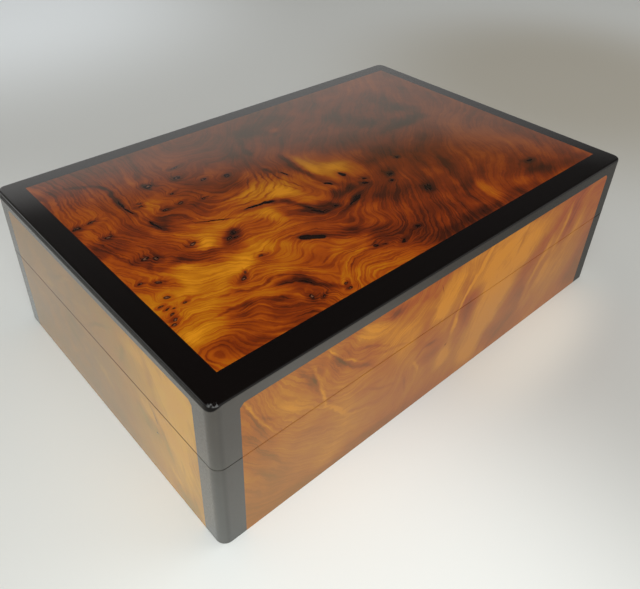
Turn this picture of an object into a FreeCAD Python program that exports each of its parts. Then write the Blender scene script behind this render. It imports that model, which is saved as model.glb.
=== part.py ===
import FreeCAD, Part
import math
import os

# Hinged keepsake box: a mitred carcass veneered in burl, with black lippings round the top and
# down the corners, a lid sawn off the same carcass, and two brass butt hinges let into the back.
# Millimetres. X runs along the length, Y to the back, Z up. The origin is the middle of the
# underside, with the lid shut.

Vector = FreeCAD.Vector

# Outside of the shut box
length = 300.0
width = 200.0
height = 90.0
seam_height = 52.0
corner_radius = 5.0
top_edge_radius = 1.2
seam_ease = 0.3
base_ease = 0.4

# Veneer and lippings
skin = 2.0
corner_band = 13.0
top_band = 7.0
border_front = 13.5
border_back = 10.5
border_left = 12.5
border_right = 10.0
panel_clip = 2.0

# Carcass
wall = 8.0
bottom_thickness = 5.0
bottom_rebate = 4.0
lid_board_thickness = 6.0
lid_board_rebate = 4.0

# Felt on the bottom board
lining_thickness = 1.0
lining_clearance = 0.5

# Hinges: the axis lies hinge_setback in from the back, in the plane of the seam
hinge_length = 32.0
hinge_inset = 42.0
hinge_setback = 1.4
knuckle_radius = 1.4
knuckle_count = 5
knuckle_gap = 0.1
knuckle_clearance = 0.3
pin_radius = 0.6
pin_clearance = 0.03
leaf_width = 7.0
leaf_thickness = 0.8
leaf_gap = 0.2

# How far the lid opens, and how much further the rear bevels would let it go
lid_opening = 96.0
bevel_slack = 0.5

# Countersunk wood screws
screw_head_radius = 1.4
screw_shank_radius = 0.75
screw_length = 7.0
screw_point = 1.5
screw_slot_width = 0.45
screw_slot_depth = 0.35
screw_end_inset = 6.4
screw_setback = 4.3

# Worked out from the sizes above
half_length = length / 2
half_width = width / 2
board_top = height - skin
board_under = board_top - lid_board_thickness
band_under = height - top_band
inner_half_length = half_length - skin - wall
inner_half_width = half_width - skin - wall
axis_y = half_width - hinge_setback
bevel_slope = math.tan(math.radians((lid_opening + bevel_slack) / 2))
knuckle_pitch = hinge_length / knuckle_count
hinge_middle = half_length - hinge_inset - hinge_length / 2
hinge_middles = {"left": -hinge_middle, "right": hinge_middle}

# How far a cutting tool runs past what it cuts
overrun = 1.0

# Which half of the box a piece belongs to, and which way it lies from the seam
BODY = -1
LID = 1

sides = ["front", "back", "left", "right"]
inward = {
    "front": Vector(0, 1, 0),
    "back": Vector(0, -1, 0),
    "left": Vector(1, 0, 0),
    "right": Vector(-1, 0, 0),
}
along = {
    "front": Vector(1, 0, 0),
    "back": Vector(1, 0, 0),
    "left": Vector(0, 1, 0),
    "right": Vector(0, 1, 0),
}
side_reach = {
    "front": half_length,
    "back": half_length,
    "left": half_width,
    "right": half_width,
}
side_distance = {
    "front": half_width,
    "back": half_width,
    "left": half_length,
    "right": half_length,
}

# Plan rectangles, each as lowest x, highest x, lowest y, highest y
outside = (-half_length, half_length, -half_width, half_width)
core = (skin - half_length, half_length - skin, skin - half_width, half_width - skin)
cavity = (-inner_half_length, inner_half_length, -inner_half_width, inner_half_width)
panel = (
    border_left - half_length,
    half_length - border_right,
    border_front - half_width,
    half_width - border_back,
)


# Rectangle made wider all round by an amount, or narrower where the amount is negative
def grown(rectangle, amount):
    x0, x1, y0, y1 = rectangle
    return (x0 - amount, x1 + amount, y0 - amount, y1 + amount)


# Block over a plan rectangle
def block(rectangle, z0, z1):
    x0, x1, y0, y1 = rectangle
    return Part.makeBox(x1 - x0, y1 - y0, z1 - z0, Vector(x0, y0, z0))


# Solid swept from a closed outline of points along a vector
def sweep(points, path):
    return Part.Face(Part.makePolygon(points + points[:1])).extrude(path)


# Block with its upright corners rounded, inset from the outside of the box all round
def rounded_block(inset, z0, z1):
    solid = block(grown(outside, -inset), z0, z1)
    radius = corner_radius - inset
    if radius > 0:
        upright = [edge for edge in solid.Edges if edge.BoundBox.ZLength > (z1 - z0) / 2]
        solid = solid.makeFillet(radius, upright)
    return solid


# Edges of a solid that lie flat at one height
def edges_at(solid, z):
    near = 1e-4
    return [
        edge
        for edge in solid.Edges
        if abs(edge.BoundBox.ZMin - z) < near and abs(edge.BoundBox.ZMax - z) < near
    ]


# Plate in one side of the box: an outline of (along, z) points, between two depths from outside
def side_plate(side, points, depth0, depth1):
    start = inward[side] * (depth0 - side_distance[side])
    corners = [start + along[side] * a + Vector(0, 0, z) for a, z in points]
    return sweep(corners, inward[side] * (depth1 - depth0))


# One member of a mitred frame between an outer and an inner plan rectangle
def mitred(side, outer, inner, z0, z1):
    x0, x1, y0, y1 = outer
    u0, u1, v0, v1 = inner
    plans = {
        "front": [(x0, y0), (x1, y0), (u1, v0), (u0, v0)],
        "back": [(x1, y1), (x0, y1), (u0, v1), (u1, v1)],
        "left": [(x0, y1), (x0, y0), (u0, v0), (u0, v1)],
        "right": [(x1, y0), (x1, y1), (u1, v1), (u1, v0)],
    }
    points = [Vector(x, y, z0) for x, y in plans[side]]
    return sweep(points, Vector(0, 0, z1 - z0))


# Take a list of tools out of a shape
def cut_all(shape, tools):
    for tool in tools:
        shape = shape.cut(tool)
    return shape


# Write one sub-part
def save(name, shape):
    shape.exportStep("parts/" + name + ".step")


# Heights at two distances from the seam, on the body's or the lid's side of it
def span(half, near, far):
    low = seam_height + half * near
    high = seam_height + half * far
    return min(low, high), max(low, high)


# V cut along the back of the seam, with its point on the hinge axis
def rear_groove():
    start = Vector(-half_length - overrun, axis_y, seam_height)
    depth = hinge_setback + overrun
    rise = depth * bevel_slope
    points = [start, start + Vector(0, depth, rise), start + Vector(0, depth, -rise)]
    return sweep(points, Vector(length + 2 * overrun, 0, 0))


# Cylinder on the hinge axis, from x0 to x1
def barrel(radius, x0, x1):
    return Part.makeCylinder(radius, x1 - x0, Vector(x0, axis_y, seam_height), Vector(1, 0, 0))


# One countersunk screw, driven down into the body or up into the lid
def screw(x, half, slotted):
    y = axis_y - screw_setback
    z = seam_height + half * leaf_gap / 2
    profile = [
        (0, 0),
        (screw_head_radius, 0),
        (screw_shank_radius, leaf_thickness),
        (screw_shank_radius, screw_length - screw_point),
        (0, screw_length),
    ]
    points = [Vector(x + radius, y, z + half * depth) for radius, depth in profile]
    outline = Part.Face(Part.makePolygon(points + points[:1]))
    solid = outline.revolve(Vector(x, y, z), Vector(0, 0, 1), 360)
    if slotted:
        reach = screw_head_radius + overrun
        half_slot = screw_slot_width / 2
        z0, z1 = span(half, leaf_gap / 2 - overrun, leaf_gap / 2 + screw_slot_depth)
        solid = solid.cut(block((x - reach, x + reach, y - half_slot, y + half_slot), z0, z1))
    return solid


# The screws of one leaf
def leaf_screws(middle, half, slotted=True):
    reach = hinge_length / 2 - screw_end_inset
    return [screw(middle + end * reach, half, slotted) for end in (-1, 1)]


# Pocket in a rim for one leaf, with the round recess that the knuckles turn in
def mortise(middle, half):
    reach = hinge_length / 2
    z0, z1 = span(half, -overrun, leaf_gap / 2 + leaf_thickness)
    pocket = block((middle - reach, middle + reach, axis_y - leaf_width, axis_y), z0, z1)
    end = reach + knuckle_clearance
    recess = barrel(knuckle_radius + knuckle_clearance, middle - end, middle + end)
    return pocket.fuse(recess)


# One hinge leaf: a plate let into the rim, with every second knuckle. The body has the end ones
def hinge_leaf(middle, half):
    start = middle - hinge_length / 2
    z0, z1 = span(half, leaf_gap / 2, leaf_gap / 2 + leaf_thickness)
    leaf = block((start, start + hinge_length, axis_y - leaf_width, axis_y), z0, z1)
    first = 0 if half == BODY else 1
    knuckles = []
    for k in range(knuckle_count):
        x0 = start + k * knuckle_pitch
        x1 = x0 + knuckle_pitch
        if k % 2 == first:
            low = x0 + (knuckle_gap / 2 if k > 0 else 0)
            high = x1 - (knuckle_gap / 2 if k < knuckle_count - 1 else 0)
            knuckles.append(barrel(knuckle_radius, low, high))
        else:
            leaf = leaf.cut(barrel(knuckle_radius + knuckle_gap, x0, x1))
    for knuckle in knuckles:
        leaf = leaf.fuse(knuckle)
    bore_radius = pin_radius if half == BODY else pin_radius + pin_clearance
    bore = barrel(bore_radius, start - overrun, start + hinge_length + overrun)
    holes = leaf_screws(middle, half, slotted=False)
    return cut_all(leaf, [bore] + holes).removeSplitter()


# Outline of a lid side panel as (along, z) points, its upper corners clipped
def lid_panel_outline(reach):
    shoulder = band_under - panel_clip
    return [
        (-reach, seam_height),
        (reach, seam_height),
        (reach, shoulder),
        (reach - panel_clip, band_under),
        (panel_clip - reach, band_under),
        (-reach, shoulder),
    ]


# Outline of a body side panel as (along, z) points
def body_panel_outline(reach):
    return [(-reach, 0), (reach, 0), (reach, seam_height), (-reach, seam_height)]


# Triangle that fills one clipped corner of a side panel
def clip_fill(side, end):
    reach = side_reach[side] - corner_band
    points = [
        (end * reach, band_under),
        (end * (reach - panel_clip), band_under),
        (end * reach, band_under - panel_clip),
    ]
    return side_plate(side, points, 0, skin)


# Square of plan at one corner of the box, as wide as the corner bands. Ends are -1 or 1
def corner_square(x_end, y_end):
    xs = sorted([x_end * half_length, x_end * (half_length - corner_band)])
    ys = sorted([y_end * half_width, y_end * (half_width - corner_band)])
    return tuple(xs + ys)


os.makedirs("parts", exist_ok=True)

# Outer form of the finished body and lid, which every outside piece is trimmed to
groove = rear_groove()
body_form = rounded_block(0, 0, seam_height)
body_form = body_form.makeChamfer(seam_ease, edges_at(body_form, seam_height))
body_form = body_form.makeChamfer(base_ease, edges_at(body_form, 0))
body_form = body_form.cut(groove)
lid_form = rounded_block(0, seam_height, height)
lid_form = lid_form.makeChamfer(seam_ease, edges_at(lid_form, seam_height))
lid_form = lid_form.makeFillet(top_edge_radius, edges_at(lid_form, height))
lid_form = lid_form.cut(groove)

# What the veneer and the lippings are glued to
body_core = rounded_block(skin, 0, seam_height)
lid_core = rounded_block(skin, seam_height, board_top)
bottom_board = block(grown(cavity, bottom_rebate), 0, bottom_thickness)
lid_board = block(grown(cavity, lid_board_rebate), board_under, board_top)

# Tools that let the hinges into the back
body_mortises = [mortise(middle, BODY) for middle in hinge_middles.values()]
lid_mortises = [mortise(middle, LID) for middle in hinge_middles.values()]
body_pilots = []
lid_pilots = []
for middle in hinge_middles.values():
    body_pilots += leaf_screws(middle, BODY, slotted=False)
    lid_pilots += leaf_screws(middle, LID, slotted=False)

# Carcass walls, mitred, with a rebate for the board
for side in sides:
    body_wall = mitred(side, core, cavity, 0, seam_height)
    body_wall = body_wall.common(body_core).cut(bottom_board)
    lid_wall = mitred(side, core, cavity, seam_height, board_top)
    lid_wall = lid_wall.common(lid_core).cut(lid_board)
    if side == "back":
        body_wall = cut_all(body_wall, [groove] + body_mortises + body_pilots)
        lid_wall = cut_all(lid_wall, [groove] + lid_mortises + lid_pilots)
    save("body_" + side + "_wall", body_wall)
    save("lid_" + side + "_wall", lid_wall)

# Boards and felt
save("bottom_board", bottom_board)
save("lid_board", lid_board)
lining_top = bottom_thickness + lining_thickness
save("base_lining", block(grown(cavity, -lining_clearance), bottom_thickness, lining_top))

# Burl faces of the sides
for side in sides:
    reach = side_reach[side] - corner_band
    body_face = side_plate(side, body_panel_outline(reach), 0, skin).common(body_form)
    lid_face = side_plate(side, lid_panel_outline(reach), 0, skin).common(lid_form)
    if side == "back":
        body_face = cut_all(body_face, body_mortises)
        lid_face = cut_all(lid_face, lid_mortises)
    save("body_" + side + "_burl", body_face)
    save("lid_" + side + "_burl", lid_face)

# Black lippings down the corners
for y_side, y_end in (("front", -1), ("back", 1)):
    for x_side, x_end in (("left", -1), ("right", 1)):
        square = corner_square(x_end, y_end)
        body_corner = block(square, 0, seam_height).common(body_form).cut(body_core)
        lid_corner = block(square, seam_height, band_under).common(lid_form).cut(lid_core)
        lid_corner = lid_corner.fuse(clip_fill(y_side, x_end))
        lid_corner = lid_corner.fuse(clip_fill(x_side, y_end)).removeSplitter()
        save("body_corner_" + y_side + "_" + x_side, body_corner)
        save("lid_corner_" + y_side + "_" + x_side, lid_corner)

# Black border round the top, turned down over the side, and the burl panel inside it
for side in sides:
    strip = mitred(side, outside, panel, band_under, height)
    save("top_edge_" + side, strip.common(lid_form).cut(lid_core))
save("top_burl_panel", block(panel, board_top, height))

# Hinges
body_screws = []
lid_screws = []
for name, middle in hinge_middles.items():
    save(name + "_hinge_body_leaf", hinge_leaf(middle, BODY))
    save(name + "_hinge_lid_leaf", hinge_leaf(middle, LID))
    reach = hinge_length / 2
    save(name + "_hinge_pin", barrel(pin_radius, middle - reach, middle + reach))
    body_screws += leaf_screws(middle, BODY)
    lid_screws += leaf_screws(middle, LID)
save("body_hinge_screws", Part.makeCompound(body_screws))
save("lid_hinge_screws", Part.makeCompound(lid_screws))
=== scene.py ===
"""A keepsake box in burl veneer with black lippings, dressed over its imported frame."""

import math
from typing import NamedTuple

import bpy
import numpy as np
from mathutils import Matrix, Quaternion, Vector


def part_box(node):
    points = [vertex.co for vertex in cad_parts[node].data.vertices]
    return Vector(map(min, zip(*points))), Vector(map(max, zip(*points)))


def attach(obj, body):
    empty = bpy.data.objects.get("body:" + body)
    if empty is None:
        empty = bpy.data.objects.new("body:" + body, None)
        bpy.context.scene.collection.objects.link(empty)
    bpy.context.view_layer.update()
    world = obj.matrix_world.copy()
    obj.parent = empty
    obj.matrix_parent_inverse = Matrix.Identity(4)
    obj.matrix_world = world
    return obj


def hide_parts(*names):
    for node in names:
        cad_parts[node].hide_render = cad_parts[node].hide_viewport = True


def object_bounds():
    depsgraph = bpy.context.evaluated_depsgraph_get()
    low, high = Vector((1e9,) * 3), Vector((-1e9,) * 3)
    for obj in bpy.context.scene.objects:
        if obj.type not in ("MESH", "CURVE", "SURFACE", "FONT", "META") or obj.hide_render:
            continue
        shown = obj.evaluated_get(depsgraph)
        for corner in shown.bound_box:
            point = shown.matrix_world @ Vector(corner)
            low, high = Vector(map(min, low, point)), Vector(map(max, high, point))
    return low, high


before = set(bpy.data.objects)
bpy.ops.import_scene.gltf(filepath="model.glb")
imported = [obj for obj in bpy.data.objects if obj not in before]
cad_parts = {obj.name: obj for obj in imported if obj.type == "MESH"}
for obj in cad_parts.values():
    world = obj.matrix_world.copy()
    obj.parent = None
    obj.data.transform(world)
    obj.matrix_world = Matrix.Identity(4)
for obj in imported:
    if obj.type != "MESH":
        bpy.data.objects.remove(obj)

CAD_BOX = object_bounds()
LOW, HIGH = CAD_BOX
FELT_LOW, FELT_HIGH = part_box("base_lining")
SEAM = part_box("lid_front_burl")[0].z
MM = 0.001
# How far from an oval, in its own sizes, the distance from it is still worked out.
OVAL_REACH = 4.5

bl_info = {
    "name": "Burl Keepsake Box",
    "version": (1, 0, 0),
    "blender": (4, 5, 0),
    "location": "View3D > Sidebar > Keepsake",
    "description": "Veneers, lippings, lining and fittings of a hinged keepsake box, and its stage",
    "category": "Object",
}

# Grain of the top, read one by one: millimetres from the front left corner, then the direction
# straight across the lines in degrees, counter-clockwise from the box's long side.
TOP_GRAIN = (
    (15, 90, 5), (25, 104, 32), (20, 125, 8), (22, 150, 0), (32, 140, 10), (38, 160, 4), (43, 136, -2),
    (46, 155, -10), (55, 150, -11), (60, 135, -12), (66, 150, -20), (50, 107, 52), (70, 100, 66),
    (84, 108, 85), (40, 92, 20), (45, 76, 42), (55, 68, 40), (35, 62, 48), (27, 70, 40), (64, 78, 52),
    (80, 73, 88), (98, 70, 80), (112, 60, 55), (17, 51, 92), (28, 49, 90), (36, 52, 60), (43, 52, 110),
    (49, 47, 45), (57, 42, 85), (68, 43, 95), (76, 38, 40), (81, 28, 18), (84, 19, 12), (22, 40, 88),
    (36, 40, 92), (43, 39, 70), (52, 34, 58), (62, 27, 48), (70, 20, 40), (35, 25, 32), (22, 34, 90),
    (14, 26, 140), (30, 17, 12), (50, 20, 58), (90, 24, 150), (97, 33, 118), (108, 34, 92), (120, 33, 78),
    (103, 21, 100), (118, 21, 80), (132, 17, 62), (120, 48, 48), (129, 46, 88), (145, 54, 128),
    (160, 45, 140), (172, 62, 138), (188, 55, 148), (200, 28, 152), (213, 58, 146), (235, 76, 126),
    (262, 92, 118), (225, 20, 150), (245, 48, 152), (275, 58, 158), (285, 25, 150), (165, 25, 140),
    (145, 30, 125), (95, 105, 92), (106, 105, 112), (116, 111, 142), (121, 123, 150), (129, 118, 162),
    (113, 96, 130), (120, 90, 60), (121, 86, 90), (127, 95, 160), (134, 105, 165), (140, 95, 200),
    (147, 115, 196), (155, 100, 206), (165, 112, 180), (90, 95, 80), (103, 95, 72), (110, 88, 45),
    (113, 80, 20), (105, 80, 80), (126, 140, 155), (133, 155, 150), (105, 157, 52), (120, 150, 95),
    (80, 150, 66), (90, 128, 60), (72, 125, 30), (100, 122, 95), (95, 175, 50), (180, 130, 135),
    (195, 112, 142), (230, 150, 135), (270, 150, 150), (230, 115, 130), (150, 172, 125), (175, 95, 160),
    (140, 132, 170), (160, 140, 145), (120, 178, 110), (30, 178, -12), (70, 180, 0), (200, 175, 130),
    (255, 180, 140), (285, 120, 150),
)
# Eyes in the figure: place, half length, half width and turn.
TOP_EYES = (
    (15.6, 134.6, 3, 1.8, 5), (23.4, 136.4, 2.8, 1.2, 20), (24.6, 118, 2, 1.2, 10), (29, 94, 2.6, 1.4, 0),
    (33.4, 91, 2.2, 2, 0), (51.4, 90.4, 2.2, 1.5, 20), (68, 82, 2.4, 1.8, 10), (73, 84, 2.6, 2, 30),
    (71, 80, 2, 1.2, 0), (17, 77.6, 1.5, 1, 0), (24.6, 74.4, 2.2, 1.4, -20), (21.4, 64, 2.4, 1.5, -10),
    (16, 60, 1.4, 0.8, 0), (17, 56.4, 1.6, 0.9, 10), (19.6, 55, 1, 0.6, 0), (26.4, 55.6, 1.5, 0.9, 15),
    (17, 52, 1.6, 0.9, 15), (17, 48.6, 1.8, 1, 0), (14.4, 46.4, 1.4, 1, 0), (54, 52, 2.4, 1.1, 20),
    (57.4, 54.6, 1.4, 0.8, 50), (71.4, 60.6, 2, 0.9, -10), (51, 138, 1.4, 0.8, 0), (50, 135, 1.6, 0.9, 0),
    (58, 124, 2.4, 1.5, 0), (67, 124.4, 2.2, 1.3, 10), (80, 120.6, 1.8, 1, 0), (64, 150, 3, 2, 0),
    (80, 147, 2.6, 2, 0), (86, 158, 3, 1.2, 0), (91, 136, 2, 1.4, 0), (104, 132, 3, 2, 30),
    (70, 135, 2, 1, 0), (129, 70.4, 1.6, 1.2, 0), (119.4, 31.4, 2.2, 1.5, -30), (123, 29.6, 1, 0.6, 0),
    (132.4, 27, 2.6, 1.1, 20), (147.6, 30.4, 1.4, 0.8, 0), (70, 23, 1.4, 2, 0), (75, 19, 1.4, 0.8, 20),
    (88, 19.6, 1.6, 1, 0), (87.4, 16.4, 2, 0.9, 0), (195, 85.4, 1.6, 1, 0), (157, 77, 2.2, 1.6, 0),
    (161, 81, 1.6, 1.2, 0), (177, 75, 2, 1.2, 0), (171, 70, 1.6, 1, 0), (253, 34, 2.4, 1.6, 0),
)
# Dark strokes and splits: both ends and half the width.
TOP_SPLITS = (
    (94.6, 60.6, 97, 59, 1.9), (94.4, 60.8, 101, 56.4, 2.1), (98.6, 57.8, 105.4, 53.4, 2.0),
    (103, 55, 105.4, 53.4, 1.8), (43.4, 146, 42.6, 138, 0.6), (42.6, 138, 44, 130.5, 0.7),
    (46.4, 119, 47.6, 110.5, 0.8), (65, 103, 79, 95.8, 0.4), (90, 97.8, 104, 96, 1.1),
    (100, 96.8, 107, 94.4, 1.3), (116, 75, 120, 70.4, 1.0), (136, 66.4, 147, 70, 0.8),
    (140, 92, 143, 88, 1.2), (154.2, 95, 155, 90, 1.5), (129.4, 116, 130.4, 111, 0.6),
)
# Soft strokes: both ends, half the width, and how much lighter they are.
TOP_STROKES = (
    (26, 177, 40, 168, 2.4, -0.14), (40, 168, 45.6, 160, 2.4, -0.2), (45.6, 160, 44, 150, 2.2, -0.24),
    (44, 150, 42.6, 138, 2.0, -0.22), (66, 168, 63.4, 156, 2.4, -0.2), (63.4, 156, 62, 146, 2.6, -0.2),
    (104, 97, 110.4, 92, 3.4, -0.24), (110.4, 92, 113.6, 84, 2.8, -0.24), (113.6, 84, 116, 75, 2.4, -0.22),
    (43, 39, 53, 34.4, 2.8, -0.2), (53, 34.4, 63, 27, 2.8, -0.22), (60, 39, 72, 37, 2.4, -0.2),
    (72, 37, 79, 27, 2.6, -0.24), (79, 27, 85, 18, 2.0, -0.2), (14, 41, 28, 39.4, 1.3, -0.16),
    (28, 39.4, 41, 40.4, 1.3, -0.18), (38, 49.6, 45, 49.6, 1.3, -0.16), (45, 49.6, 51, 44.6, 1.4, -0.2),
    (51, 44.6, 58, 42.4, 1.4, -0.2), (58, 42.4, 66, 44, 1.4, -0.18), (66, 44, 73, 41, 1.4, -0.18),
    (73, 41, 78, 35, 1.4, -0.16), (84, 18, 92, 27, 2.0, 0.14), (92, 27, 102, 33.4, 2.0, 0.12),
    (102, 33.4, 114, 35, 2.0, 0.1), (106, 53, 124, 47, 5, -0.1), (124, 47, 142, 40, 5, -0.1),
    (94, 107, 106, 109, 0.9, -0.22), (106, 109, 114, 115, 0.9, -0.24), (114, 115, 118, 125, 0.9, -0.22),
    (97, 103.6, 109, 106, 0.9, -0.22), (109, 106, 117, 112, 0.9, -0.24), (117, 112, 121, 124, 0.9, -0.22),
    (103, 101, 113, 103, 0.9, -0.2), (113, 103, 119.6, 109, 0.9, -0.22), (119.6, 109, 124, 123, 0.9, -0.2),
    (122, 106, 125, 95, 0.9, -0.2), (126, 120, 126, 108, 1, -0.22), (126, 108, 129, 96, 1, -0.2),
    (84, 111, 104, 113, 0.9, -0.16), (104, 113, 112, 122, 0.9, -0.16), (86, 104, 100, 102, 0.9, -0.16),
    (136, 164, 131, 152, 2.4, -0.14), (131, 152, 129, 142, 2.4, -0.14), (140, 132, 138.6, 116, 4.4, -0.1),
    (138.6, 116, 140, 100, 3.4, -0.12), (125, 126, 127, 118, 1.8, -0.18), (134, 66, 149, 71, 2.6, -0.18),
    (139, 75, 152, 80, 2.6, -0.16), (29, 92, 25, 82, 2.0, -0.1), (18, 108, 24, 90, 1.4, -0.1),
)
# Pale and dark clouds: place, half length, half width, turn, and how much lighter they are. The broad dark
# clouds towards the back and the right hold painted shade as well as figure, where the light falls off.
TOP_CLOUDS = (
    (40, 72, 26, 14, 35, 0.24), (61, 62, 24, 9, 20, 0.28), (32, 50, 22, 8, 0, 0.12),
    (22, 37, 16, 9, 0, 0.28), (57, 90, 9, 6, 0, 0.12), (78, 92, 26, 8, 5, 0.14), (86, 106, 22, 7, 10, 0.06),
    (110, 109, 20, 14, 30, 0.16), (120, 98, 14, 16, 0, 0.10), (128, 87, 12, 10, 0, 0.06),
    (151, 107, 11, 20, 0, 0.2), (163, 100, 9, 12, 10, 0.12), (139, 82, 8, 9, 0, -0.04),
    (56, 133, 8, 9, 0, 0.16), (54, 85, 6, 3, 10, 0.12), (99, 84, 8, 9, 0, 0.18), (84, 66, 18, 10, 0, 0.12),
    (72, 47, 14, 8, 0, 0.1), (100, 22, 16, 6, 0, 0.1), (104, 42, 10, 6, 0, 0.06), (54, 38, 8, 7, 0, 0.1),
    (14, 64, 8, 10, 0, 0.14), (136, 42, 8, 6, 0, 0.1), (48, 66, 10, 5, 0, 0.1), (58, 78, 18, 5, -25, -0.14),
    (52, 77, 9, 6, 0, -0.16), (52, 54, 8, 5, 0, -0.18), (24, 72, 6, 6, 0, -0.12),
    (24, 106, 18, 28, 0, -0.12), (27, 92, 12, 8, 0, -0.08), (25, 165, 26, 16, 0, -0.1),
    (44, 87, 11, 8, 0, -0.14), (24, 21, 15, 8, 0, -0.14), (56, 20, 20, 8, 0, -0.14),
    (70, 18, 10, 8, 0, -0.06), (44, 29, 24, 8, -25, -0.16), (74, 30, 9, 20, 25, -0.16),
    (90, 40, 30, 12, 0, -0.03), (105, 84, 6, 7, 0, -0.14), (38, 120, 8, 20, 0, -0.12),
    (128, 37, 9, 14, -30, -0.22), (148, 52, 26, 9, 50, -0.14), (168, 45, 34, 16, 50, -0.2),
    (190, 52, 50, 14, 58, -0.16), (181, 52, 7, 6, 0, -0.22), (150, 33, 26, 16, 0, -0.14),
    (192, 38, 10, 12, 0, -0.14), (124, 73, 16, 8, -10, -0.34), (152, 77, 18, 9, 15, -0.3),
    (139, 119, 7, 22, 0, -0.2), (143, 95, 5, 16, 15, -0.16), (50, 114, 8, 7, 0, -0.18),
    (71, 82, 11, 8, 15, -0.2), (85, 150, 32, 14, 5, -0.12), (96, 130, 22, 14, -10, -0.18),
    (66, 118, 24, 9, 0, -0.2), (96, 120, 16, 7, 0, -0.14), (78, 132, 14, 12, 0, -0.14),
    (72, 165, 10, 14, 0, -0.14), (185, 97, 22, 16, 0, -0.16), (178, 122, 24, 14, 0, -0.16),
    (215, 95, 60, 45, 35, -0.18), (246, 30, 22, 10, 0, -0.24), (275, 25, 14, 14, 0, -0.1),
    (240, 117, 24, 9, 0, -0.14), (248, 152, 12, 22, -10, -0.12), (202, 176, 18, 12, 0, -0.1),
    (151, 168, 16, 12, 0, -0.14), (210, 150, 90, 44, 0, -0.2), (160, 161, 6, 4, 0, 0.2),
    (50, 188, 60, 22, 0, -0.22), (45, 155, 36, 34, 0, -0.12), (118, 172, 40, 34, 0, -0.22),
    (122, 142, 13, 18, 0, -0.2), (128, 124, 12, 12, 0, -0.12), (108, 118, 10, 6, 0, -0.12),
    (154, 150, 22, 30, 0, -0.12), (165, 185, 34, 16, 0, -0.22), (225, 190, 60, 14, 0, -0.16),
    (280, 150, 22, 60, 0, -0.1), (280, 95, 24, 50, 0, -0.12), (284, 45, 14, 40, 0, -0.14),
    (244, 134, 10, 7, 0, -0.1), (210, 50, 30, 16, 62, -0.18), (188, 24, 22, 14, 0, -0.18),
    (222, 24, 22, 14, 0, -0.12), (150, 20, 26, 10, 0, -0.16), (165, 66, 16, 12, 0, -0.2),
    (180, 78, 12, 8, 0, -0.16), (119, 48, 9, 8, 0, -0.16), (240, 58, 22, 20, 0, -0.12),
    (256, 42, 16, 14, 0, -0.16), (258, 20, 16, 8, 0, -0.16), (129, 92, 9, 10, 0, -0.14),
    (114, 88, 8, 8, 0, -0.1), (156, 112, 8, 8, 0, -0.1), (146, 64, 14, 6, 0, -0.14),
    (100, 66, 18, 7, 0, -0.06), (206, 28, 5, 16, -22, 0.2), (202, 62, 4, 34, -20, 0.1),
    (222, 58, 5, 30, -30, 0.1), (232, 22, 16, 8, 0, 0.08), (46, 80, 12, 6, -25, -0.22),
    (54, 108, 12, 7, 0, -0.14), (76, 109, 12, 6, 0, -0.14), (132, 57, 12, 8, 0, -0.14),
    (112, 62, 12, 8, 0, -0.12), (222, 42, 16, 10, 30, -0.14), (246, 22, 12, 8, 0, -0.16),
    (137, 78, 6, 7, 0, -0.12), (12, 112, 8, 8, 0, -0.12), (110, 105, 14, 8, 0, 0.06),
    (118, 97, 8, 8, 0, 0.12), (158, 101, 9, 9, 0, 0.14), (146, 112, 5, 14, 0, 0.2),
    (157, 78, 9, 6, 0, 0.14), (70, 42, 8, 5, 0, 0.1), (34, 160, 9, 14, 0, 0.1), (64, 158, 7, 14, 0, 0.1),
    (97, 138, 12, 8, 0, 0.1), (236, 60, 14, 10, 0, 0.06), (145, 69, 8, 5, 0, -0.12),
    (30, 71, 5, 8, 0, -0.22), (40, 80, 12, 5, -20, -0.2), (50, 72, 11, 5, -10, -0.16),
    (71, 62, 8, 9, 0, -0.16), (40, 96, 8, 8, 0, -0.14), (18, 112, 16, 7, 0, -0.12),
    (110, 77, 10, 8, 0, -0.14), (136, 79, 7, 6, 0, -0.16), (176, 76, 8, 7, 0, -0.14),
    (122, 66, 14, 6, -10, -0.1), (124, 51, 16, 8, -15, -0.14), (140, 30, 12, 7, 0, -0.16),
    (105, 31, 26, 5, 0, -0.08), (170, 16, 40, 8, 0, -0.24), (220, 15, 40, 8, 0, -0.16),
    (275, 15, 20, 8, 0, -0.18), (35, 15, 10, 6, 0, -0.16), (58, 14, 12, 6, 0, -0.14),
    (204, 40, 9, 7, 0, -0.14), (238, 38, 18, 7, 10, -0.12), (160, 57, 14, 8, 30, -0.12),
    (204, 146, 14, 14, 0, -0.14), (216, 130, 10, 8, 0, -0.14), (253, 130, 9, 14, 0, -0.16),
    (235, 114, 22, 6, 0, -0.1), (170, 172, 16, 10, 0, -0.14), (142, 168, 10, 8, 0, -0.12),
    (290, 182, 12, 14, 0, -0.14), (116, 135, 8, 7, 0, -0.12), (58, 128, 7, 6, 0, -0.1),
    (14, 132, 6, 9, 0, -0.14), (18, 174, 8, 7, 0, -0.14), (98, 105, 12, 6, 20, 0.08),
    (112, 96, 9, 6, 0, 0.12), (95, 90, 8, 5, 0, 0.1), (57, 87, 5, 6, 0, 0.1), (180, 104, 8, 10, 0, 0.12),
    (196, 62, 8, 8, 0, 0.12), (182, 40, 12, 7, 0, 0.08), (102, 42, 8, 5, 0, 0.08),
    (145, 123, 5, 8, 0, 0.12), (60, 116, 8, 5, 0, 0.08), (15, 36, 5, 6, 0, 0.14), (60, 58, 10, 4, 0, 0.08),
)
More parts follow.
